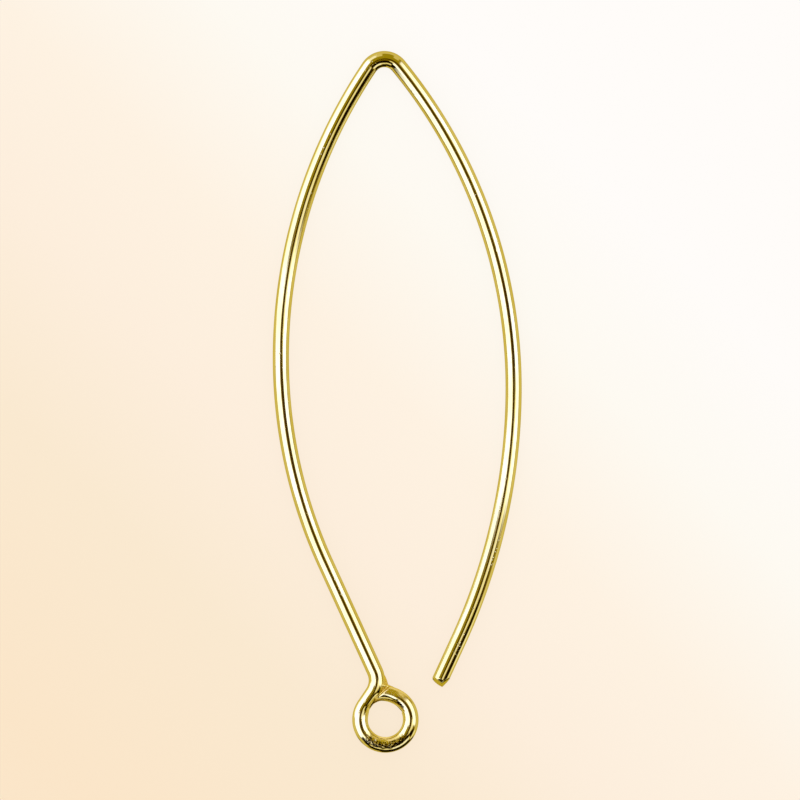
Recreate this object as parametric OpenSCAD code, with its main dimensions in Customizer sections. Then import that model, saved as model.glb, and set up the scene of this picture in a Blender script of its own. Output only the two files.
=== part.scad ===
// Marquise ear wire: one length of round wire, bent to a narrow peak that goes through the
// ear, with a closed loop for a drop at the foot of the front leg and a bare, cut tip at the
// foot of the back leg. It lies on its side: X runs from the front leg to the back leg, Y from
// the loop up to the peak, and the wire rests on Z = 0 with the origin in the middle of its
// outline. Heights and distances in the sections below are taken from the underside of the
// loop and from the middle of the peak.

/* [Wire] */
// Diameter of the round wire
wire_d = 0.81; // [0.6:0.01:1]

/* [Outline] */
// Height from the underside of the loop to the top of the peak
overall_h = 35; // [28:0.5:45]
// Distance from the middle of the peak out to the outer edge of the front leg
front_reach = 5.57; // [4.5:0.01:7]
// Distance from the middle of the peak out to the outer edge of the back leg
back_reach = 6.85; // [5:0.01:10]
// Height of the widest point of the front leg
front_belly_h = 19.7; // [16:0.1:23]
// Height of the widest point of the back leg
back_belly_h = 18.2; // [14:0.1:23]
// Inside radius of the bend at the peak
peak_bend_r = 0.5; // [0.3:0.05:2]

/* [Loop] */
// Inside diameter of the loop
loop_bore = 1.75; // [1.2:0.05:3]
// How much thinner the wire is round the loop, where bending has drawn it out
loop_thinning = 0.03; // [0.02:0.005:0.06]
// Distance of the middle of the loop from the middle of the peak, towards the back leg
loop_shift = 0.05; // [-0.5:0.05:0.8]
// Direction, seen from the middle of the loop, in which its closing stretch starts
close_angle = 60; // [50:1:75]
// How much larger the bend radius of the closing stretch is than that of the loop
close_ease = 0.42; // [0.2:0.01:0.6]

/* [Neck and stem] */
// Direction, seen from the middle of the loop, in which the neck leaves it
neck_angle = 145; // [138:1:152]
// Length of the straight lead between the loop and the neck bend
neck_lead = 0.7; // [0.4:0.05:1]
// Inside radius of the neck bend
neck_bend_r = 0.73; // [0.4:0.01:1.5]
// Length of the straight stem above the neck bend
stem_len = 5.9; // [3:0.1:9]

/* [Tail and tip] */
// Bend radius of the back leg below its widest point, on the middle of the wire
back_low_r = 30.2; // [24:0.1:45]
// Length of the straight tail, up to the middle of the cut end
tail_len = 2.4; // [1.5:0.1:4]
// Height of the middle of the cut end
tip_h = 3.4; // [2:0.1:6]
// Slant of the cut end towards the outer side of the tail
tip_slant = 18; // [5:1:30]
// Lean of the cut end towards the upper side of the tail
tip_lean = 15; // [5:1:30]
// Depth of the bevel on the outer side of the tip
bevel_depth = 0.27; // [0.1:0.01:0.35]
// Length of the bevel along the tail
bevel_len = 0.6; // [0.3:0.01:0.9]
// How far the bevel is rolled round to the upper side of the tail
bevel_roll = 15; // [0:1:60]

/* [Hidden] */

$fa = 2;
$fs = 0.08;

// Hair-thin band over the joint of two stretches, which makes them one solid
band_skin = 0.002;
band_len = 0.04;
// Turn by which the loop's thinner wire runs on inside the neck
loop_tuck = 5;

wire_r = wire_d / 2;

// Point at a distance and in a direction from the origin
function polar(distance, direction) = distance * [cos(direction), sin(direction)];

// Bend radius of the upper half of a leg, from its half width and its rise. The bend is
// upright at the widest point and runs into the bend at the peak without a corner.
function side_r(half_w, rise) =
    (half_w * half_w + rise * rise - peak_r * peak_r) / (2 * (half_w - peak_r));

// Bend at the peak. All radii and points from here on are on the middle of the wire.
peak_r = peak_bend_r + wire_r;
peak_c = [0, overall_h - wire_r - peak_r];

// Upper halves of the two legs
front_w = front_reach - wire_r;
back_w = back_reach - wire_r;
front_up_r = side_r(front_w, peak_c.y - front_belly_h);
back_up_r = side_r(back_w, peak_c.y - back_belly_h);
front_up_c = [front_up_r - front_w, front_belly_h];
back_up_c = [back_w - back_up_r, back_belly_h];
front_turn = atan2(peak_c.y - front_up_c.y, peak_c.x - front_up_c.x);
back_turn = atan2(peak_c.y - back_up_c.y, peak_c.x - back_up_c.x);

// Loop and its closing stretch
loop_wire_d = wire_d - loop_thinning;
loop_r = (loop_bore + loop_wire_d) / 2;
loop_c = [loop_shift, loop_r + loop_wire_d / 2];
close_r = loop_r + close_ease;
close_c = loop_c - polar(close_ease, close_angle);
close_from = loop_c + polar(loop_r, close_angle);

// Neck: a straight lead out of the loop, then a bend back towards the front leg
lead_way = neck_angle - 90;
lead_from = loop_c + polar(loop_r, neck_angle);
lead_to = lead_from + polar(neck_lead, lead_way);
neck_r = neck_bend_r + wire_r;
neck_c = lead_to + polar(neck_r, neck_angle);

// Lower half of the front leg: its bend and the neck bend share the straight stem as a tangent
stem_dx = neck_c.x + neck_r + front_w;
stem_dy = front_belly_h - neck_c.y;
both_r = (stem_dx * stem_dx + stem_dy * stem_dy - stem_len * stem_len) / (2 * stem_dx);
front_low_r = both_r - neck_r;
front_low_c = [front_low_r - front_w, front_belly_h];
stem_lean = atan2(stem_dy, front_low_c.x - neck_c.x) - atan(stem_len / both_r);
stem_way = stem_lean + 90;
stem_from = neck_c + polar(neck_r, stem_lean);
stem_to = stem_from + polar(stem_len, stem_way);

// Lower half of the back leg: the lean of its tail follows from the height of the tip
back_low_c = [back_w - back_low_r, back_belly_h];
tail_lean = asin((back_belly_h - tip_h) / norm([back_low_r, tail_len])) - atan(tail_len / back_low_r);
tail_way = -90 - tail_lean;
tail_from = back_low_c + polar(back_low_r, -tail_lean);
tail_to = tail_from + polar(tail_len, tail_way);

// Wire bent round a centre, from one direction to another
module bent(centre, r, from, to, d = wire_d)
    translate(centre) rotate(from) rotate_extrude(angle = to - from)
        translate([r, 0]) circle(d = d);

// Straight wire from a point on, in a direction
module straight(from, len, way)
    translate(from) rotate([0, 90, way]) cylinder(d = wire_d, h = len);

// Band over the joint of two stretches
module band(point, way, d = wire_d)
    translate(point) rotate([0, 90, way])
        cylinder(d = d + 2 * band_skin, h = band_len, center = true);

// Block that reaches well past the wire, on the far side of a plane through the origin
module beyond(size)
    translate([0, -size, -size]) cube(2 * size);

module loop() {
    bent(loop_c, loop_r, neck_angle - loop_tuck, close_angle + 360, loop_wire_d);
    band(close_from, close_angle + 90, loop_wire_d);
    // The closing stretch ends on the middle of the neck's wire
    difference() {
        bent(close_c, close_r, close_angle, neck_angle, loop_wire_d);
        translate(lead_from) rotate(neck_angle) beyond(2 * loop_r);
    }
}

module neck() {
    straight(lead_from, neck_lead, lead_way);
    band(lead_to, lead_way);
    bent(neck_c, neck_r, neck_angle - 180, stem_lean);
}

module front_leg() {
    band(stem_from, stem_way);
    straight(stem_from, stem_len, stem_way);
    band(stem_to, stem_way);
    bent(front_low_c, front_low_r, 180, 180 + stem_lean);
    band([-front_w, front_belly_h], 90);
    bent(front_up_c, front_up_r, front_turn, 180);
}

module peak() {
    band(peak_c + polar(peak_r, front_turn), front_turn + 90);
    bent(peak_c, peak_r, back_turn, front_turn);
    band(peak_c + polar(peak_r, back_turn), back_turn + 90);
}

module back_leg() {
    bent(back_up_c, back_up_r, 0, back_turn);
    band([back_w, back_belly_h], 90);
    bent(back_low_c, back_low_r, -tail_lean, 0);
    band(tail_from, tail_way);
    difference() {
        straight(tail_from, tail_len + wire_d, tail_way);
        translate(tail_to) rotate(tail_way) tip_cuts();
    }
}

// What the cutter takes off a tail that runs along X: the slanted end and the bevel beside it
module tip_cuts() {
    rotate([0, -tip_lean, -tip_slant]) beyond(2 * wire_d);
    rotate([bevel_roll, 0, 0]) translate([0, wire_r - bevel_depth, 0])
        rotate(90 - atan(bevel_depth / bevel_len)) beyond(2 * wire_d);
}

module ear_wire()
    color([0.83, 0.69, 0.22])
        translate([(front_reach - back_reach) / 2, -overall_h / 2, wire_r + band_skin]) {
            loop();
            neck();
            front_leg();
            peak();
            back_leg();
        }

ear_wire();
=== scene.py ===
import math
import random

import bpy
import numpy as np
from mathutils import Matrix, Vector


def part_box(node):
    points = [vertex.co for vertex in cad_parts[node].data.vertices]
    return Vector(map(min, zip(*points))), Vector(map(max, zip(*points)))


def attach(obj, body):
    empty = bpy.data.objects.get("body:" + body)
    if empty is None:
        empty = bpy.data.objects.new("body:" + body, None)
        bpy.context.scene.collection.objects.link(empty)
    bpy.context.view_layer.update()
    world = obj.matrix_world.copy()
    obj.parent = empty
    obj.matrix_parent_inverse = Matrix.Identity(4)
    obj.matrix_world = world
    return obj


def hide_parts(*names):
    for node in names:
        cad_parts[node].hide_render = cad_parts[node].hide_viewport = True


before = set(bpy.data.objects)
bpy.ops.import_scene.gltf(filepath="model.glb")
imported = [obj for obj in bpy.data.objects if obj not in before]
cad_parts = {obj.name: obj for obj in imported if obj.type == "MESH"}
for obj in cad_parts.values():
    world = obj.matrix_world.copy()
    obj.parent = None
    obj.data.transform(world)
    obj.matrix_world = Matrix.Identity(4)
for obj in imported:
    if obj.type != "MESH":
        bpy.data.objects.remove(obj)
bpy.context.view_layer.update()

mm = 0.001
wireNode = "ear_wire"
print("frame loaded")

# The bends of the wire, in millimetres and degrees. Heights are taken from the underside
# of the loop, and reaches from the middle of the peak.
wireShape = {
    "wireD": 0.81,
    "loopWireD": 0.78,       # bending has drawn the wire round the loop a little thinner
    "overallH": 35.0,
    "frontReach": 5.57,
    "backReach": 6.85,
    "frontBellyH": 19.7,
    "backBellyH": 18.2,
    "peakBendR": 0.5,
    "loopBore": 1.75,
    "loopShift": 0.05,       # how far right of the peak's middle the loop's middle lies
    "closeAngle": 60.0,      # where the closing end begins, round the loop
    "closeEase": 0.42,       # how much wider it bends than the loop
    "neckAngle": 145.0,      # where the loop ends, and a straight lead goes on to the neck
    "neckLead": 0.7,
    "neckBendR": 0.73,
    "stemLen": 5.9,
    "backLowR": 30.2,
    "tailLen": 2.4,
    "tipH": 3.4,
}

# Where the wire ends: the cut that closes the loop against the neck, and the cut tip
closingCut = {
    "spareAngle": 112.0,     # the closing stretch is drawn this far round before it is cut
    "faceAngle": 135.0,      # the way the cut face looks
    "faceReach": 2.185,      # how far out that way the face stands
    "rim": 0.1,              # radius of the rubbed edge round the face
}
tipCut = {
    "short": 0.075,          # how much the worn end falls short of the full length
    "slant": 10.0,           # how far the cut looks to the right, and how far up
    "lean": 14.5,
    "bevelAngle": 27.0,      # between the bevel and the wire
    "bevelDepth": 0.24,      # how much it takes off at the full length
    "bevelRoll": 18.5,       # how far up round the wire it is turned from the left
    "crease": 0.014,         # how softly the two cuts meet
    "rim": 0.085,
    "filed": 24.0,           # slope of the small flat that is filed on the upper edge
    "filedLen": 0.31,
}

# The top of the closing end slopes down towards its cut
closingDip = {
    "slope": 0.105,          # fall per length
    "ease": 0.15,            # millimetres over which it sets in
}

# The solder that fills the corners where the loop closes on the neck. It leans on the side
# of the neck as a ramp. The rows give, in millimetres, a distance from the start of the lead,
# how thick the core under the solder is there, and how far out the ramp's foot lies.
seamFill = {
    "middle": (-0.25, 3.08),  # a point inside the joint, in the frame of the bends
    "reach": 0.95,           # the solder lies within this distance of it
    "endTo": 120.0,          # the loop's end is drawn this far round before it is cut
    "dipLimit": 0.6,         # largest share of its height that the end's top slopes down by
    "ramp": (
        (0.25, 0.32, 0.32),
        (0.46, 0.34, 0.40),
        (0.62, 0.385, 0.46),
        (0.90, 0.402, 0.51),
        (1.08, 0.402, 0.60),
        (1.21, 0.402, 0.76),
        (1.26, 0.402, 0.58),
        (1.62, 0.402, 0.402),
    ),
    "blend": 0.12,           # width over which neck and end run into one another
    "sunk": 0.003,           # it lies this far under the wire's own surface
    "step": 0.02,            # the surface is sought in steps of this length
    "halvings": 14,          # and each crossing is then narrowed down this many times
    "around": 240,           # columns and rows of the skin
    "upward": 120,
}

# The flat that the pliers left on the inner side of the lead, in millimetres
leadFlat = {
    "depth": 0.068,
    "from": (-0.5, 0.12),    # distances from the start of the lead over which it begins
    "to": (0.6, 0.9),        # and ends
    "fullAt": 0.9,           # share of the radius, inwards, at which it has its full depth
}

# The kink on the inner side of the loop where the closing end was pressed shut
loopKink = {
    "depth": 0.048,          # millimetres
    "from": 23.5,            # around the loop, in degrees
    "to": 44.0,
    "edge": (-1.5, 1.0),     # degrees before and after its start over which it sets in
    "fullAt": 0.9,
}

wireMesh = {
    "sides": 96,
    "legStep": 0.2,          # spacing of the rings along the legs
    "bendStep": 2.4,         # the same in degrees, round the tight bends
    "loopStep": 0.032,       # spacing round the loop and its closing end
    "cutZone": 0.75,         # stretch over which the rings turn into the plane of a cut
    "clear": 0.02,           # least distance from that stretch to the next plain ring
    "cutRings": 22,
    "rimRings": 5,
    "faceRings": 14,
}


def polar(distance, degrees):
    return distance * np.array([math.cos(math.radians(degrees)), math.sin(math.radians(degrees))])


def smoothStep(low, high, value):
    share = np.clip((value - low) / (high - low), 0, 1)
    return share * share * (3 - 2 * share)


# A share that rises to 1 over one pair of values and falls back to 0 over another
def riseAndFall(rise, fall, value):
    return smoothStep(*rise, value) * (1 - smoothStep(*fall, value))


# Radius of the upper half of a leg, upright at its widest point and without a corner at the peak
def sideRadius(halfWidth, rise, peakR):
    return (halfWidth ** 2 + rise ** 2 - peakR ** 2) / (2 * (halfWidth - peakR))


# The wire as a chain of stretches, from the closing end to the tip. Each has a name, a length,
# a turn to the left, and where it starts.
def wireStretches(shape):
    wireR = shape["wireD"] / 2
    peakR = shape["peakBendR"] + wireR
    peakY = shape["overallH"] - wireR - peakR
    frontW = shape["frontReach"] - wireR
    backW = shape["backReach"] - wireR
    frontUpR = sideRadius(frontW, peakY - shape["frontBellyH"], peakR)
    backUpR = sideRadius(backW, peakY - shape["backBellyH"], peakR)
    frontTurn = math.degrees(math.atan2(peakY - shape["frontBellyH"], frontW - frontUpR))
    backTurn = math.degrees(math.atan2(peakY - shape["backBellyH"], backUpR - backW))

    loopR = (shape["loopBore"] + shape["loopWireD"]) / 2
    loopC = np.array([shape["loopShift"], loopR + shape["loopWireD"] / 2])
    closeR = loopR + shape["closeEase"]
    closeC = loopC - polar(shape["closeEase"], shape["closeAngle"])
    spare = closingCut["spareAngle"] - shape["closeAngle"]

    leadTo = loopC + polar(loopR, shape["neckAngle"]) + polar(shape["neckLead"], shape["neckAngle"] - 90)
    neckR = shape["neckBendR"] + wireR
    neckC = leadTo + polar(neckR, shape["neckAngle"])
    stemX = neckC[0] + neckR + frontW
    stemY = shape["frontBellyH"] - neckC[1]
    bothR = (stemX ** 2 + stemY ** 2 - shape["stemLen"] ** 2) / (2 * stemX)
    frontLowR = bothR - neckR
    stemLean = math.degrees(math.atan2(stemY, frontLowR - frontW - neckC[0])
                            - math.atan(shape["stemLen"] / bothR))
    tailReach = math.hypot(shape["backLowR"], shape["tailLen"])
    tailLean = math.degrees(math.asin((shape["backBellyH"] - shape["tipH"]) / tailReach)
                            - math.atan(shape["tailLen"] / shape["backLowR"]))

    def bend(name, radius, turn):
        return {"name": name, "length": radius * math.radians(abs(turn)), "turn": turn}

    stretches = [
        bend("closing", closeR, -spare),
        bend("loop", loopR, -(shape["closeAngle"] + 360 - shape["neckAngle"])),
        {"name": "lead", "length": shape["neckLead"], "turn": 0.0},
        bend("neck", neckR, stemLean - shape["neckAngle"] + 180),
        {"name": "stem", "length": shape["stemLen"], "turn": 0.0},
        bend("frontLow", frontLowR, -stemLean),
        bend("frontUp", frontUpR, frontTurn - 180),
        bend("peak", peakR, backTurn - frontTurn),
        bend("backUp", backUpR, -backTurn),
        bend("backLow", shape["backLowR"], -tailLean),
        {"name": "tail", "length": shape["tailLen"], "turn": 0.0},
    ]
    at = closeC + polar(closeR, closingCut["spareAngle"])
    heading = math.radians(closingCut["spareAngle"] - 90)
    along = 0.0
    for stretch in stretches:
        stretch.update(start=at, heading=heading, along=along)
        at, heading = walk(stretch, np.array(stretch["length"]))
        along += stretch["length"]
    wire = {stretch["name"]: stretch for stretch in stretches}
    wire.update(stretches=stretches, length=along, closeC=closeC, closeR=closeR, loopR=loopR)
    return wire


# Point and heading at a distance into one stretch; distances may be an array
def walk(stretch, distance):
    turn = math.radians(stretch["turn"])
    heading = stretch["heading"] + turn * distance / stretch["length"]
    if turn:
        radius = stretch["length"] / turn
        x = stretch["start"][0] + radius * (np.sin(heading) - math.sin(stretch["heading"]))
        y = stretch["start"][1] - radius * (np.cos(heading) - math.cos(stretch["heading"]))
    else:
        x = stretch["start"][0] + distance * math.cos(stretch["heading"])
        y = stretch["start"][1] + distance * math.sin(stretch["heading"])
    return np.array([x, y]), heading


# Angle round the loop, in degrees, at a distance along the wire. It falls along the wire, so
# at the closing end it is a full turn more.
def loopAngles(wire, along):
    past = along - wire["loop"]["along"]
    return wireShape["closeAngle"] + 360 - np.degrees(past / wire["loopR"])


# Places points given by their distance along the wire and their offsets to the left and up
def placeOnWire(wire, along, left, up):
    placed = np.zeros(along.shape + (3,))
    starts = [stretch["along"] for stretch in wire["stretches"]]
    which = np.clip(np.searchsorted(starts, along, side="right") - 1, 0, len(starts) - 1)
    for index, stretch in enumerate(wire["stretches"]):
        here = which == index
        if here.any():
            at, heading = walk(stretch, along[here] - stretch["along"])
            placed[here, 0] = at[0] - left[here] * np.sin(heading)
            placed[here, 1] = at[1] + left[here] * np.cos(heading)
            placed[here, 2] = up[here]
    return placed


# How far the top of the closing end lies lower than a round wire, by the way past the loop
def dipAt(past):
    past = np.maximum(past, 0)
    return closingDip["slope"] * (np.hypot(past, closingDip["ease"]) - closingDip["ease"])


# Distance along the wire at which the flat cut face of the closing end lies
def closingFace(wire, left):
    faceWay = polar(1, closingCut["faceAngle"])
    reach = closingCut["faceReach"] - wire["closeC"] @ faceWay
    around = closingCut["faceAngle"] - np.degrees(np.arccos(reach / (wire["closeR"] + left)))
    return wire["closeR"] * np.radians(closingCut["spareAngle"] - around)


# The same for the slanted cut and the bevel of the tip, which meet in a slightly soft crease
def tipFace(wire, left, up):
    slant, lean, roll = (math.radians(tipCut[k]) for k in ("slant", "lean", "bevelRoll"))
    endX = math.cos(lean) * math.cos(slant)
    endSide = -math.cos(lean) * math.sin(slant)
    endUp = math.sin(lean)
    cut = -tipCut["short"] - (endSide * left + endUp * up) / endX
    tilt = math.radians(tipCut["bevelAngle"])
    depth = math.cos(tilt) * (wireShape["wireD"] / 2 - tipCut["bevelDepth"])
    bevelSide = math.cos(tilt) * math.cos(roll)
    bevelUp = math.cos(tilt) * math.sin(roll)
    bevel = (depth - bevelSide * left - bevelUp * up) / math.sin(tilt)
    gap = cut - bevel
    softer = np.sqrt(gap ** 2 + tipCut["crease"] ** 2)
    return wire["length"] + (cut + bevel - softer) / 2


# Plier dents on the upper side of the loop's foot
plierDents = {
    "count": 110,
    "from": 208.0,           # around the loop, in degrees
    "to": 326.0,
    "inner": -0.38,          # across the wire, as a share of its radius
    "outer": 0.42,
    "size": (0.035, 0.06),   # millimetres
    "drawnOut": (0.7, 2.2),  # how many times longer than wide a dent is
    "depth": (0.004, 0.011),
    "steepness": 2.2,
    "seed": 7,
}


def dentDepths(angles, across, upper, radius):
    rng = random.Random(plierDents["seed"])
    depths = np.zeros(across.shape)
    middle = (plierDents["from"] + plierDents["to"]) / 2
    spread = (plierDents["to"] - plierDents["from"]) / 2
    for _ in range(plierDents["count"]):
        angle = middle + spread * (rng.random() + rng.random() - 1)
        offset = rng.uniform(plierDents["inner"], plierDents["outer"])
        size = rng.uniform(*plierDents["size"])
        depth = rng.uniform(*plierDents["depth"])
        drawnOut = rng.uniform(*plierDents["drawnOut"])
        fromMiddle = np.radians(angles - angle) * radius
        toSide = (np.arcsin(np.clip(across, -1, 1)) - math.asin(offset)) * wireShape["loopWireD"] / 2
        apart = (fromMiddle / (size * drawnOut)) ** 2 + (toSide / size) ** 2
        depths += np.where(upper, depth * np.exp(-apart * plierDents["steepness"]), 0)
    return depths


# Offsets to the left and up of one ring of the wire's skin
def ringOffsets(radius):
    turn = np.arange(wireMesh["sides"]) * 2 * math.pi / wireMesh["sides"]
    return radius * np.cos(turn), radius * np.sin(turn)


# The rings of a cut end, from near the middle of its flat face out over the rubbed rim and
# on to the first plain ring, and where that one lies
def cutEndRings(wire, isTip):
    radius = (wireShape["wireD"] if isTip else wireShape["loopWireD"]) / 2
    rim = tipCut["rim"] if isTip else closingCut["rim"]
    inward = -1 if isTip else 1
    rings = []

    def addRing(size, sunk):
        left, up = ringOffsets(size)
        face = tipFace(wire, left, up) if isTip else closingFace(wire, left)
        rings.append((face + inward * sunk, left, up))

    for share in np.linspace(0, 1, wireMesh["faceRings"] + 1)[1:]:
        addRing((radius - rim) * share, 0)
    for step in range(1, wireMesh["rimRings"] + 1):
        turn = math.pi / 2 * step / wireMesh["rimRings"]
        addRing(radius - rim * (1 - math.sin(turn)), rim * (1 - math.cos(turn)))
    edge, left, up = rings[-1]
    plainAt = wire["length"] - wireMesh["cutZone"] if isTip else edge.max() + wireMesh["cutZone"]
    for share in np.linspace(0, 1, wireMesh["cutRings"] + 1)[1:]:
        rings.append((edge * (1 - share) + plainAt * share, left, up))
    return rings, plainAt


# Distances along the wire of the plain rings, closer together where it bends tightly
def plainRings(wire, first, last):
    places = []
    for stretch in wire["stretches"]:
        step = wireMesh["legStep"]
        if stretch["name"] in ("closing", "loop"):
            step = wireMesh["loopStep"]
        elif stretch["name"] in ("peak", "neck"):
            step = stretch["length"] / abs(stretch["turn"]) * wireMesh["bendStep"]
        count = max(int(round(stretch["length"] / step)), 1)
        places.extend(stretch["along"] + stretch["length"] * np.arange(count) / count)
    return [place for place in places if first + wireMesh["clear"] < place < last - wireMesh["clear"]]


# The lead brings the wire from its thickness round the loop to its full thickness
def radiusAt(wire, along):
    thin, full = wireShape["loopWireD"] / 2, wireShape["wireD"] / 2
    return thin + (full - thin) * smoothStep(0, wire["lead"]["length"], along - wire["lead"]["along"])


# Offsets to the left and up after plier dents, the two presses of the pliers, the filing of
# the tip and the slope of the closing end
def wornOffsets(wire, along, left, up):
    wireR, loopWireR = wireShape["wireD"] / 2, wireShape["loopWireD"] / 2
    angles = loopAngles(wire, along)
    onLoop = (along > wire["loop"]["along"]) & (along < wire["lead"]["along"])
    dents = dentDepths(angles, left / loopWireR, up > 0, wire["loopR"])
    kept = 1 - np.where(onLoop, dents, 0) / np.hypot(left, up)
    left, up = left * kept, up * kept

    flat = riseAndFall(leadFlat["from"], leadFlat["to"], along - wire["lead"]["along"])
    left = left + leadFlat["depth"] * flat * smoothStep(0, leadFlat["fullAt"], -left / wireR)

    kinkFrom, kinkTo = loopKink["from"] + 360, loopKink["to"] + 360
    pressed = np.clip((kinkTo - angles) / (kinkTo - kinkFrom), 0, 1) ** 2
    pressed = pressed * smoothStep(kinkFrom + loopKink["edge"][0], kinkFrom + loopKink["edge"][1], angles)
    left = left + loopKink["depth"] * pressed * smoothStep(0, loopKink["fullAt"], -left / wireR)

    filed = np.maximum(along - wire["length"] + tipCut["filedLen"], 0)
    up = np.minimum(up, wireR - filed * math.tan(math.radians(tipCut["filed"])))
    dip = dipAt(wire["loop"]["along"] - along)
    return left, np.where(up > 0, up * (1 - dip / loopWireR), up)


# Faces of a closed skin: rows of points that run round it, and one more point at each end
def closedSkin(rows, columns):
    row = np.arange(rows - 1)[:, None] * columns
    column = np.arange(columns)[None, :]
    after = (column + 1) % columns
    quads = np.stack([row + column, row + after, row + columns + after, row + columns + column], -1)
    faces = quads.reshape(-1, 4).tolist()
    last = (rows - 1) * columns
    for k in range(columns):
        nextK = (k + 1) % columns
        faces.append([rows * columns, nextK, k])
        faces.append([rows * columns + 1, last + k, last + nextK])
    return faces


# The wire's skin, each point as a distance along the wire and offsets to the left and up
def wireSkin(wire):
    closingRings, firstPlain = cutEndRings(wire, False)
    tipRings, lastPlain = cutEndRings(wire, True)
    rings = list(closingRings)
    for place in plainRings(wire, firstPlain, lastPlain):
        left, up = ringOffsets(radiusAt(wire, place))
        rings.append((np.full(left.shape, place), left, up))
    rings.extend(reversed(tipRings))
    along, left, up = (np.array(part) for part in zip(*rings))
    left, up = wornOffsets(wire, along, left, up)

    # Middle points of the two faces close the ends
    along = np.append(along.ravel(), [closingFace(wire, 0), tipFace(wire, 0, 0)])
    left = np.append(left.ravel(), [0, 0])
    up = np.append(up.ravel(), [0, 0])
    return along, left, up, closedSkin(len(rings), wireMesh["sides"])


def buildEarWire():
    wire = wireStretches(wireShape)
    along, left, up, faces = wireSkin(wire)
    points = placeOnWire(wire, along, left, up)

    # The solder joins the same mesh, and its own place stands in for the straightened wire's
    solder, solderFaces = seamSkin(wire)
    faces.extend([[corner + len(points) for corner in face] for face in solderFaces])
    unmarked = np.zeros(len(solder))
    laidOut = np.vstack([np.stack([along, left, up], -1), solder])
    marks = {
        "worked": np.append(workedShare(wire, along, left), unmarked + workedMarks["solder"]),
        "specked": np.append(speckedShare(wire, along, left), unmarked),
        "rubbedAndSheen": np.append(rubbedAndSheenShare(wire, along, left), unmarked),
    }
    points = np.vstack([points, solder])

    # From the bends' own frame to the frame of the part, lying on the floor
    low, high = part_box(wireNode)
    shift = np.array([(wireShape["frontReach"] - wireShape["backReach"]) / 2,
                      -wireShape["overallH"] / 2, (low.z + high.z) / 2 / mm])
    mesh = bpy.data.meshes.new("earWire")
    mesh.from_pydata(((points + shift) * mm).tolist(), [], faces)
    mesh.validate()
    mesh.shade_smooth()

    # What the material reads: the wire laid out straight, and how far tools changed each place
    layer = mesh.attributes.new("laidOut", "FLOAT_VECTOR", "POINT")
    layer.data.foreach_set("vector", laidOut.astype(np.float32).ravel())
    for name, share in marks.items():
        layer = mesh.attributes.new(name, "FLOAT", "POINT")
        layer.data.foreach_set("value", share.astype(np.float32))
    piece = bpy.data.objects.new("earWire", mesh)
    bpy.context.scene.collection.objects.link(piece)
    print("wire built:", len(points), "points,", len(faces), "faces,", round(wire["length"], 1), "mm long")
    return piece


# Where pliers and cutters have roughened the surface, and how strongly, from 0 to 1. A mark
# fades in over the pair of values at "from" or "inner", and out over the pair at "to" or
# "outer". They are degrees round the loop, or millimetres along or across the wire.
workedMarks = {
    "loopFoot": {"share": 0.3, "from": (205, 228), "to": (300, 325), "outer": (0.1, 0.2)},
    "loopInside": {"share": 0.25, "from": (240, 252), "to": (278, 292), "outer": (-0.24, -0.17)},
    "closing": {"share": 0.3, "to": (-0.1, 0.9), "inner": (-0.12, 0.1)},
    "neck": {"share": 0.06, "from": (0, 0.5), "to": (0, 0.8)},
    "cutFace": {"share": 0.4, "from": (-0.12, 0)},
    "solder": 0.6,
}


def workedShare(wire, along, left):
    angles = loopAngles(wire, along)
    shares = []
    for mark in (workedMarks["loopFoot"], workedMarks["loopInside"]):
        around = riseAndFall(mark["from"], mark["to"], angles)
        shares.append(mark["share"] * around * (1 - smoothStep(*mark["outer"], left)))

    mark = workedMarks["closing"]
    atEnd = 1 - smoothStep(*mark["to"], along - wire["loop"]["along"])
    shares.append(mark["share"] * atEnd * smoothStep(*mark["inner"], left))

    mark = workedMarks["neck"]
    neckEnd = wire["neck"]["along"] + wire["neck"]["length"]
    turned = smoothStep(*mark["from"], along - wire["lead"]["along"])
    shares.append(mark["share"] * turned * (1 - smoothStep(*mark["to"], along - neckEnd)))

    mark = workedMarks["cutFace"]
    shares.append(mark["share"] * smoothStep(*mark["from"], along - wire["length"]))
    return np.maximum.reduce(shares)


# Where polish is left in small specks, on the crest of the loop's foot
speckedMark = {
    "from": (212, 232),
    "to": (308, 322),
    "inner": (-0.2, -0.1),
    "outer": (0.1, 0.19),
}


def speckedShare(wire, along, left):
    share = riseAndFall(speckedMark["from"], speckedMark["to"], loopAngles(wire, along))
    return share * riseAndFall(speckedMark["inner"], speckedMark["outer"], left)


# Where pliers have rubbed the inner side of the foot and the closing end, and a paler, brighter gold is
# painted there as a painted sheen
rubbedAndSheenMarks = {
    "foot": {"from": (236, 256), "to": (274, 296), "outer": (-0.17, -0.08)},
    "closing": {"share": 0.45, "to": (0, 0.5), "inner": (0, 0.1)},
}


def rubbedAndSheenShare(wire, along, left):
    mark = rubbedAndSheenMarks["foot"]
    foot = riseAndFall(mark["from"], mark["to"], loopAngles(wire, along))
    foot = foot * (1 - smoothStep(*mark["outer"], left))
    mark = rubbedAndSheenMarks["closing"]
    atEnd = 1 - smoothStep(*mark["to"], along - wire["loop"]["along"])
    return np.maximum(foot, mark["share"] * atEnd * smoothStep(*mark["inner"], left))


# In-plane distance from points to a bend, which runs from one angle to the other about its middle
def bendDistance(x, y, middle, radius, fromAngle, toAngle):
    angle = np.degrees(np.arctan2(y - middle[1], x - middle[0]))
    apart = (angle - (fromAngle + toAngle) / 2 + 180) % 360 - 180
    onBend = np.abs(np.hypot(x - middle[0], y - middle[1]) - radius)
    ends = [np.hypot(x - p[0], y - p[1]) for p in
            (middle + polar(radius, fromAngle), middle + polar(radius, toAngle))]
    return np.where(np.abs(apart) <= (toAngle - fromAngle) / 2, onBend, np.minimum(*ends))


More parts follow.
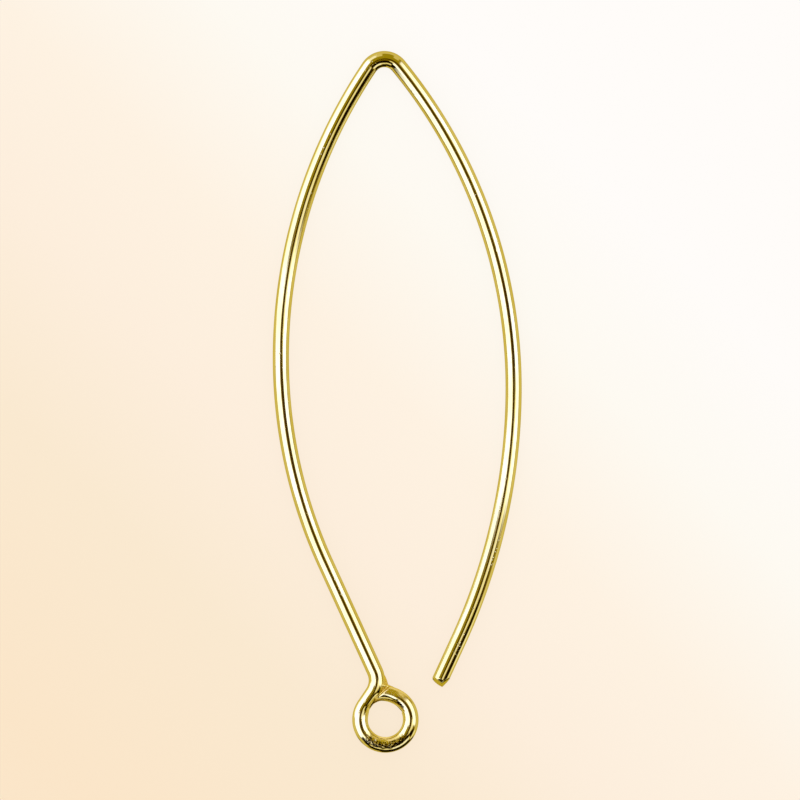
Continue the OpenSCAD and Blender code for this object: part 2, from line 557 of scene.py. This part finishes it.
# How far points lie outside the neck with its ramp of solder, in millimetres
def neckLevel(wire, x, y, z):
    lead, neck = wire["lead"], wire["neck"]
    neckR = neck["length"] / math.radians(neck["turn"])
    neckC = neck["start"] + neckR * np.array([-math.sin(neck["heading"]), math.cos(neck["heading"])])
    ahead = np.array([math.cos(lead["heading"]), math.sin(lead["heading"])])
    fromLead = np.stack([x - lead["start"][0], y - lead["start"][1]], -1)
    turned = np.arctan2(y - neckC[1], x - neckC[0]) - (neck["heading"] - math.pi / 2)
    turned = (turned + math.pi) % (2 * math.pi) - math.pi
    pastLead = turned > 0
    along = np.where(pastLead, lead["length"] + turned * neckR, fromLead @ ahead)
    side = np.where(pastLead, np.hypot(x - neckC[0], y - neckC[1]) - neckR,
                    fromLead @ np.array([ahead[1], -ahead[0]]))

    rows = np.array(seamFill["ramp"]).T
    core, foot = np.interp(along, rows[0], rows[1]), np.interp(along, rows[0], rows[2])
    ramp = np.arccos(np.clip(core / foot, 0, 1))
    outwards = np.hypot(side, z)
    upwards = np.arctan2(np.abs(z), side)
    level = np.where(upwards < ramp, outwards * np.cos(ramp - upwards), outwards) - core
    return np.where(along < 0, np.maximum(level, -along), level)


# The same for the loop's cut end, with its rubbed rim and its sloping top
def endLevel(wire, x, y, z):
    loopWireR = wireShape["loopWireD"] / 2
    closeC, closeR = wire["closeC"], wire["closeR"]
    apart = bendDistance(x, y, closeC, closeR, wireShape["closeAngle"], seamFill["endTo"])
    around = np.arctan2(y - closeC[1], x - closeC[0])
    dip = dipAt((around - math.radians(wireShape["closeAngle"])) * closeR)
    lowered = 1 - np.minimum(dip / loopWireR, seamFill["dipLimit"])
    level = np.hypot(apart, np.where((z > 0) & (around > 0), z / lowered, z)) - loopWireR

    faceWay = polar(1, closingCut["faceAngle"])
    pastFace = x * faceWay[0] + y * faceWay[1] - closingCut["faceReach"]
    rim = closingCut["rim"]
    pastRim = np.hypot(np.maximum(level + rim, 0), np.maximum(pastFace + rim, 0)) - rim
    return np.maximum(np.maximum(level, pastFace), pastRim)


# The two together, run softly into one another: below zero inside the solder
def seamLevel(wire, x, y, z):
    onNeck, onEnd = neckLevel(wire, x, y, z), endLevel(wire, x, y, z)
    blend = seamFill["blend"]
    near = np.maximum(blend - np.abs(onNeck - onEnd), 0) / blend
    return np.minimum(onNeck, onEnd) - near * near * blend / 4 + seamFill["sunk"]


# A closed skin round a point inside the joint, found along rays from that point
def seamSkin(wire):
    around = np.radians(np.arange(seamFill["around"]) * 360 / seamFill["around"])
    upward = np.radians(np.linspace(-90, 90, seamFill["upward"] + 1)[1:-1])
    turn, rise = np.meshgrid(around, upward)
    ways = np.stack([np.cos(turn) * np.cos(rise), np.sin(turn) * np.cos(rise), np.sin(rise)])
    middle = np.array([*seamFill["middle"], 0.0]).reshape(3, 1, 1)

    def level(distance):
        return seamLevel(wire, *(middle + ways * distance))

    low = np.zeros(turn.shape)
    inside = np.ones(turn.shape, bool)
    for distance in np.arange(seamFill["step"], seamFill["reach"], seamFill["step"]):
        inside &= level(distance) < 0
        low = np.where(inside, distance, low)
    high = low + seamFill["step"]
    for _ in range(seamFill["halvings"]):
        half = (low + high) / 2
        within = level(half) < 0
        low, high = np.where(within, half, low), np.where(within, high, half)
    reached = np.where(inside, seamFill["reach"], low)
    points = (middle + ways * reached).reshape(3, -1).T
    rows, columns = turn.shape
    lowest, highest = points[0, 2], points[-columns, 2]
    ends = [[*seamFill["middle"], lowest], [*seamFill["middle"], highest]]
    return np.vstack([points, ends]), closedSkin(rows, columns)


goldPlate = {
    "deep": (0.64, 0.50, 0.06, 1),
    "bright": (0.70, 0.56, 0.09, 1),
    "edge": (0.95, 0.86, 0.4, 1),        # towards the outline, where metal whitens
    "speck": (0.03, 0.016, 0.002, 1),
    # paler, brighter gold: a painted sheen where pliers rubbed
    "rubbedAndSheen": (0.98, 0.78, 0.2, 1),
    "brushed": (0.72, 0.5, 0.035, 1),    # where tools have roughened it
    "brushedAt": 0.625,                  # worked share at which that colour is full
    "roughness": 0.07,
    "lineRoughness": 0.07,
    "workedRoughness": 0.4,
    "lineHeight": 0.0011,                # millimetres
    "rippleHeight": 0.0022,
    "pitHeight": 0.004,
    "workedHeight": 0.01,
    # noises: scale along and across the wire and up, detail, roughness and distortion
    "lines": ((0.5, 16, 16), 3),
    "ripple": ((1.1, 4.0, 4.0), 2),
    "patches": ((0.45, 2.2, 2.2), 2),
    "scars": ((5, 14, 14), 3, 0.6, 0.4),
    "specks": ((7.5, 10.5, 10.5), 2, 0.55),
    "pitScale": (7, 9, 9),
    # ranges over which a noise or a distance takes hold
    "brightPatches": (0.3, 0.7),
    "pittedPatches": (0.52, 0.66),
    "pitWall": (0.08, 0.3),
    "speckEdge": (0.49, 0.535),
}


def link(tree, fromSocket, toSocket):
    tree.links.new(fromSocket, toSocket)


def attributeNode(tree, name, output="Fac"):
    node = tree.nodes.new("ShaderNodeAttribute")
    node.attribute_name = name
    return node.outputs[output]


def scaledPlace(tree, place, scale):
    node = tree.nodes.new("ShaderNodeMapping")
    node.inputs["Scale"].default_value = scale
    link(tree, place, node.inputs["Vector"])
    return node.outputs["Vector"]


def noiseNode(tree, place, scale, detail, roughness=0.5, distortion=0.0):
    node = tree.nodes.new("ShaderNodeTexNoise")
    node.inputs["Scale"].default_value = 1.0
    node.inputs["Detail"].default_value = detail
    node.inputs["Roughness"].default_value = roughness
    node.inputs["Distortion"].default_value = distortion
    link(tree, scaledPlace(tree, place, scale), node.inputs["Vector"])
    return node.outputs["Fac"]


def mathNode(tree, operation, first, second=None, clamp=False):
    node = tree.nodes.new("ShaderNodeMath")
    node.operation = operation
    node.use_clamp = clamp
    for socket, value in zip(node.inputs, (first, second)):
        if isinstance(value, (int, float)):
            socket.default_value = value
        elif value is not None:
            link(tree, value, socket)
    return node.outputs[0]


def rangeNode(tree, value, fromLow, fromHigh, toLow=0.0, toHigh=1.0):
    node = tree.nodes.new("ShaderNodeMapRange")
    node.interpolation_type = "SMOOTHSTEP"
    ends = {"From Min": fromLow, "From Max": fromHigh, "To Min": toLow, "To Max": toHigh}
    for name, number in ends.items():
        if isinstance(number, (int, float)):
            node.inputs[name].default_value = number
        else:
            link(tree, number, node.inputs[name])
    link(tree, value, node.inputs["Value"])
    return node.outputs["Result"]


def bumpNode(tree, height, distance, normal=None):
    node = tree.nodes.new("ShaderNodeBump")
    node.inputs["Strength"].default_value = 1.0
    node.inputs["Distance"].default_value = distance * mm
    link(tree, height, node.inputs["Height"])
    if normal is not None:
        link(tree, normal, node.inputs["Normal"])
    return node.outputs["Normal"]


def mixColour(tree, share, first, second):
    node = tree.nodes.new("ShaderNodeMix")
    node.data_type = "RGBA"
    link(tree, share, node.inputs["Factor"])
    for socket, value in ((node.inputs[6], first), (node.inputs[7], second)):   # its colours
        if isinstance(value, tuple):
            socket.default_value = value
        else:
            link(tree, value, socket)
    return node.outputs[2]


def rampNode(tree, share, colours):
    ramp = tree.nodes.new("ShaderNodeValToRGB")
    stops = ramp.color_ramp.elements
    while len(stops) < len(colours):
        stops.new(0.5)
    for stop, (position, colour) in zip(stops, colours):
        stop.position = position
        stop.color = colour
    link(tree, share, ramp.inputs["Fac"])
    return ramp.outputs["Color"]


def goldPlateMaterial():
    material = bpy.data.materials.new("goldPlate")
    material.use_nodes = True
    tree = material.node_tree
    shader = tree.nodes["Principled BSDF"]
    shader.inputs["Metallic"].default_value = 1.0
    shader.inputs["Specular Tint"].default_value = goldPlate["edge"]

    laidOut = attributeNode(tree, "laidOut", "Vector")
    worked = attributeNode(tree, "worked")
    lines = noiseNode(tree, laidOut, *goldPlate["lines"])
    ripple = noiseNode(tree, laidOut, *goldPlate["ripple"])
    patches = noiseNode(tree, laidOut, *goldPlate["patches"])
    scars = noiseNode(tree, laidOut, *goldPlate["scars"])
    specks = noiseNode(tree, laidOut, *goldPlate["specks"])

    # Small pits, gathered in patches
    pits = tree.nodes.new("ShaderNodeTexVoronoi")
    pits.inputs["Scale"].default_value = 1.0
    pits.inputs["Randomness"].default_value = 1.0
    link(tree, scaledPlace(tree, laidOut, goldPlate["pitScale"]), pits.inputs["Vector"])
    pitDepth = rangeNode(tree, pits.outputs["Distance"], *goldPlate["pitWall"], 1.0, 0.0)
    pitHere = rangeNode(tree, patches, *goldPlate["pittedPatches"])
    pitDepth = mathNode(tree, "MULTIPLY", pitDepth, pitHere)

    bright = rangeNode(tree, patches, *goldPlate["brightPatches"])
    colour = mixColour(tree, bright, goldPlate["deep"], goldPlate["bright"])
    brushed = mathNode(tree, "DIVIDE", worked, goldPlate["brushedAt"], clamp=True)
    colour = mixColour(tree, brushed, colour, goldPlate["brushed"])
    # Painted sheen: a paler, brighter gold on the foot's inner side and the closing end, where pliers
    # rubbed
    colour = mixColour(tree, attributeNode(tree, "rubbedAndSheen"), colour, goldPlate["rubbedAndSheen"])
    specked = rangeNode(tree, specks, *goldPlate["speckEdge"])
    specked = mathNode(tree, "MULTIPLY", specked, attributeNode(tree, "specked"))
    colour = mixColour(tree, specked, colour, goldPlate["speck"])
    link(tree, colour, shader.inputs["Base Color"])

    roughness = mathNode(tree, "MULTIPLY_ADD", lines, goldPlate["lineRoughness"])
    roughness.node.inputs[2].default_value = goldPlate["roughness"] - goldPlate["lineRoughness"] / 2
    extra = mathNode(tree, "MULTIPLY", worked, goldPlate["workedRoughness"])
    link(tree, mathNode(tree, "ADD", roughness, extra, clamp=True), shader.inputs["Roughness"])

    normal = bumpNode(tree, ripple, goldPlate["rippleHeight"])
    normal = bumpNode(tree, lines, goldPlate["lineHeight"], normal)
    normal = bumpNode(tree, mathNode(tree, "MULTIPLY", pitDepth, -1.0), goldPlate["pitHeight"], normal)
    normal = bumpNode(tree, mathNode(tree, "MULTIPLY", scars, worked), goldPlate["workedHeight"], normal)
    link(tree, normal, shader.inputs["Normal"])
    return material


# The floor is pale paper, warm at the lower left and almost white at the upper right
paleFloor = {
    "size": 1.6,
    "glow": 0.92,            # share of its brightness that no shadow takes away
    "spread": (-0.035, 0.021),   # x plus y, in metres, from the first stop to the last
    "stops": (
        (0.0, (0.965, 0.787, 0.582, 1)),
        (0.27, (0.956, 0.815, 0.632, 1)),
        (0.46, (0.983, 0.855, 0.716, 1)),
        (0.63, (0.991, 0.887, 0.761, 1)),
        (0.82, (0.991, 0.955, 0.885, 1)),
        (1.0, (1.0, 0.973, 0.947, 1)),
    ),
}


def buildFloor():
    half = paleFloor["size"] / 2
    mesh = bpy.data.meshes.new("paleFloor")
    corners = [(-half, -half, 0), (half, -half, 0), (half, half, 0), (-half, half, 0)]
    mesh.from_pydata(corners, [], [(0, 1, 2, 3)])
    floor = bpy.data.objects.new("paleFloor", mesh)
    bpy.context.scene.collection.objects.link(floor)
    floor.visible_glossy = False     # the tent below the horizon stands for it in the metal

    material = bpy.data.materials.new("paleFloor")
    material.use_nodes = True
    tree = material.node_tree
    tree.nodes.clear()
    place = tree.nodes.new("ShaderNodeTexCoord")
    parts = tree.nodes.new("ShaderNodeSeparateXYZ")
    link(tree, place.outputs["Object"], parts.inputs[0])
    slope = mathNode(tree, "ADD", parts.outputs["X"], parts.outputs["Y"])
    share = tree.nodes.new("ShaderNodeMapRange")
    share.inputs["From Min"].default_value = paleFloor["spread"][0]
    share.inputs["From Max"].default_value = paleFloor["spread"][1]
    link(tree, slope, share.inputs["Value"])
    shade = rampNode(tree, share.outputs["Result"], paleFloor["stops"])
    glow = tree.nodes.new("ShaderNodeEmission")
    matte = tree.nodes.new("ShaderNodeBsdfDiffuse")
    both = tree.nodes.new("ShaderNodeMixShader")
    both.inputs["Fac"].default_value = paleFloor["glow"]
    output = tree.nodes.new("ShaderNodeOutputMaterial")
    link(tree, shade, glow.inputs["Color"])
    link(tree, shade, matte.inputs["Color"])
    link(tree, matte.outputs[0], both.inputs[1])
    link(tree, glow.outputs[0], both.inputs[2])
    link(tree, both.outputs[0], output.inputs["Surface"])
    mesh.materials.append(material)
    print("floor laid")


# The light tent, as the polished metal sees it. Each panel spans some directions of the
# compass (0 is +X, 90 is +Y) and some angles from straight up, all in degrees.
lightTent = {
    "ambient": (1.0, 1.0, 1.0, 1),
    "backdrop": (0.985, 0.93, 0.86, 1),
    "softboxTint": (2.1, 2.5, 11.8),     # so blue that gold shows it as white
    "dark": 0.005,                       # what is left in the gaps
    # the cloth is brown in its dark folds and white where it is lit
    "cloth": (
        (0.0, (0.0, 0.0, 0.0, 1)),
        (0.02, (0.063, 0.028, 0.0, 1)),
        (0.07, (0.165, 0.105, 0.0, 1)),
        (0.14, (0.28, 0.217, 0.0, 1)),
        (0.24, (0.45, 0.38, 0.03, 1)),
        (0.39, (0.68, 0.62, 0.33, 1)),
        (0.57, (0.95, 0.9, 1.3, 1)),
        (0.78, (1.2, 1.24, 2.9, 1)),
        (1.0, (1.45, 1.6, 5.6, 1)),
    ),
    "clothTo": 1.6,                      # glow at which the cloth is fully lit
    "softboxes": (
        # name, compass, half width, from, to, edge, brightness
        ("leftUpper", 154, 22, 34, 92, 8, 1),
        ("leftMiddle", 182, 13, 15, 80, 7, 1),
        ("leftLower", 199, 18.5, 17, 78, 6, 1),
        ("leftFoot", 221, 14, 18, 41, 8, 1),
        ("right", 15, 27, 29.5, 76.5, 8, 1),
    ),
    "glows": (
        ("farWall", 90, 75, -10, 90, 12, 0.38),
        ("overhead", 0, 200, -30, 18, 8, 0.25),
        ("leftTop", 122, 13, 46, 85, 8, 1.45),
        ("leftTopEdge", 103, 9, 44, 84, 8, 0.9),
        ("farRight", 58, 9, 46, 92, 8, 0.85),
        ("leftSill", 158, 14, 88, 108, 8, 1.5),
        ("rightFoot", -12, 11, 13, 45, 8, 1.45),
        ("rightHeel", -26, 8, 10, 35, 7, 1.35),
        ("footWall", -9, 9, 56, 90, 8, 0.4),
        ("footSill", -29, 10, 86, 112, 8, 1.35),
        ("nearHigh", 281, 38, -30, 14, 7, 0.3),
        ("nearCrest", 238, 12, 13, 25, 6, 1.3),
        ("nearGlow", 302, 21, 54, 81, 8, 1.5),
        ("nearStrip", 274, 9, 57, 77, 6, 1.25),
        ("nearStripLeft", 253, 13, 52, 72, 6, 1.15),
        ("floorGlow", 90, 122, 82, 140, 8, 0.88),
        ("floorEdge", 90, 125, 136, 190, 10, 0.7),
        ("floorNear", 275, 45, 136, 190, 8, 0.6),
        ("floorLeft", 217, 11, 83, 140, 8, 0.8),
        ("floorLeftNear", 230, 8, 96, 140, 8, 0.88),
        ("floorLeftFoot", 247, 14, 114, 140, 8, 0.8),
    ),
    # of the glow behind the lens, the share "left" can be seen
    "lens": {"compass": 12, "tilt": 6, "size": 10, "edge": 6, "left": 0.1},
}


def panelGroup():
    group = bpy.data.node_groups.new("tentPanel", "ShaderNodeTree")
    face = group.interface
    for name in ("Compass", "From Up", "Middle", "Half Width", "From", "To", "Edge", "Brightness"):
        face.new_socket(name, in_out="INPUT", socket_type="NodeSocketFloat")
    face.new_socket("Light", in_out="OUTPUT", socket_type="NodeSocketFloat")
    source = group.nodes.new("NodeGroupInput")
    result = group.nodes.new("NodeGroupOutput")
    given = source.outputs
    half = mathNode(group, "MULTIPLY", given["Edge"], 0.5)

    apart = mathNode(group, "SUBTRACT", given["Compass"], given["Middle"])
    wrapped = mathNode(group, "WRAP", apart, 180.0)
    wrapped.node.inputs[2].default_value = -180.0
    apart = mathNode(group, "ABSOLUTE", wrapped)
    wide = rangeNode(group, apart, mathNode(group, "SUBTRACT", given["Half Width"], half),
                     mathNode(group, "ADD", given["Half Width"], half), 1.0, 0.0)
    above = rangeNode(group, given["From Up"], mathNode(group, "SUBTRACT", given["From"], half),
                      mathNode(group, "ADD", given["From"], half))
    below = rangeNode(group, given["From Up"], mathNode(group, "SUBTRACT", given["To"], half),
                      mathNode(group, "ADD", given["To"], half), 1.0, 0.0)
    light = mathNode(group, "MULTIPLY", mathNode(group, "MULTIPLY", wide, above), below)
    link(group, mathNode(group, "MULTIPLY", light, given["Brightness"]), result.inputs["Light"])
    return group


def scaled(tree, colour, share):
    node = tree.nodes.new("ShaderNodeVectorMath")
    node.operation = "SCALE"
    node.inputs[0].default_value = colour
    link(tree, share, node.inputs["Scale"])
    return node.outputs[0]


def buildTent():
    world = bpy.data.worlds.new("lightTent")
    bpy.context.scene.world = world
    world.use_nodes = True
    world.cycles.sampling_method = "NONE"
    tree = world.node_tree
    tree.nodes.clear()
    place = tree.nodes.new("ShaderNodeTexCoord")
    parts = tree.nodes.new("ShaderNodeSeparateXYZ")
    link(tree, place.outputs["Generated"], parts.inputs[0])
    compass = mathNode(tree, "ARCTAN2", parts.outputs["Y"], parts.outputs["X"])
    compass = mathNode(tree, "DEGREES", compass)
    fromUp = mathNode(tree, "DEGREES", mathNode(tree, "ARCCOSINE", parts.outputs["Z"]))
    group = panelGroup()

    def brightest(panels):
        light = None
        for name, middle, halfWidth, start, end, edge, brightness in panels:
            panel = tree.nodes.new("ShaderNodeGroup")
            panel.node_tree = group
            panel.label = name
            link(tree, compass, panel.inputs["Compass"])
            link(tree, fromUp, panel.inputs["From Up"])
            for socket, value in (("Middle", middle), ("Half Width", halfWidth), ("From", start),
                                  ("To", end), ("Edge", edge), ("Brightness", brightness)):
                panel.inputs[socket].default_value = value
            glow = panel.outputs["Light"]
            light = glow if light is None else mathNode(tree, "MAXIMUM", light, glow)
        return light

    softbox = brightest(lightTent["softboxes"])
    glow = brightest(lightTent["glows"])

    # The lens and its hood hide most of the glow a little to the right of straight up
    lens = lightTent["lens"]
    spot = tree.nodes.new("ShaderNodeVectorMath")
    spot.operation = "DOT_PRODUCT"
    side = polar(math.sin(math.radians(lens["tilt"])), lens["compass"])
    spot.inputs[1].default_value = (side[0], side[1], math.cos(math.radians(lens["tilt"])))
    link(tree, place.outputs["Generated"], spot.inputs[0])
    fromLens = mathNode(tree, "DEGREES", mathNode(tree, "ARCCOSINE", spot.outputs["Value"]))
    innerEdge, outerEdge = lens["size"] - lens["edge"] / 2, lens["size"] + lens["edge"] / 2
    clear = rangeNode(tree, fromLens, innerEdge, outerEdge, lens["left"], 1.0)
    glow = mathNode(tree, "MULTIPLY", glow, clear)
    glow = mathNode(tree, "ADD", glow, lightTent["dark"])
    # Where a softbox shines, it takes the place of the glow
    glow = mathNode(tree, "MULTIPLY", glow, mathNode(tree, "SUBTRACT", 1.0, softbox, clamp=True))

    studio = tree.nodes.new("ShaderNodeVectorMath")
    studio.operation = "ADD"
    link(tree, scaled(tree, lightTent["softboxTint"], softbox), studio.inputs[0])
    cloth = mathNode(tree, "DIVIDE", glow, lightTent["clothTo"])
    link(tree, rampNode(tree, cloth, lightTent["cloth"]), studio.inputs[1])
    ray = tree.nodes.new("ShaderNodeLightPath")
    seen = mixColour(tree, ray.outputs["Is Glossy Ray"], lightTent["ambient"], studio.outputs[0])
    seen = mixColour(tree, ray.outputs["Is Camera Ray"], seen, lightTent["backdrop"])
    background = tree.nodes.new("ShaderNodeBackground")
    output = tree.nodes.new("ShaderNodeOutputWorld")
    link(tree, seen, background.inputs["Color"])
    link(tree, background.outputs[0], output.inputs["Surface"])
    print("light tent hung")


# The camera looks straight down with a long lens. Places and distances are in metres, and
# the sensor in millimetres.
viewFrame = {
    "middle": (0.000138, 0.000091),
    "width": 0.0399,
    "height": 0.8,
    "sensor": 36.0,
    "nearest": 0.01,
    "farthest": 20.0,
}


def placeCamera():
    camera = bpy.data.cameras.new("camera")
    camera.sensor_width = viewFrame["sensor"]
    toWire = viewFrame["height"] - wireShape["wireD"] / 2 * mm
    camera.lens = viewFrame["sensor"] * toWire / viewFrame["width"]
    camera.clip_start = viewFrame["nearest"]
    camera.clip_end = viewFrame["farthest"]
    holder = bpy.data.objects.new("camera", camera)
    holder.location = (*viewFrame["middle"], viewFrame["height"])
    bpy.context.scene.collection.objects.link(holder)
    bpy.context.scene.camera = holder
    print("camera placed")


scene = bpy.context.scene
scene.view_settings.view_transform = "Standard"
scene.view_settings.look = "None"

earWire = buildEarWire()
earWire.data.materials.append(goldPlateMaterial())
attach(earWire, "root")
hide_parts(wireNode)

buildFloor()
buildTent()
placeCamera()
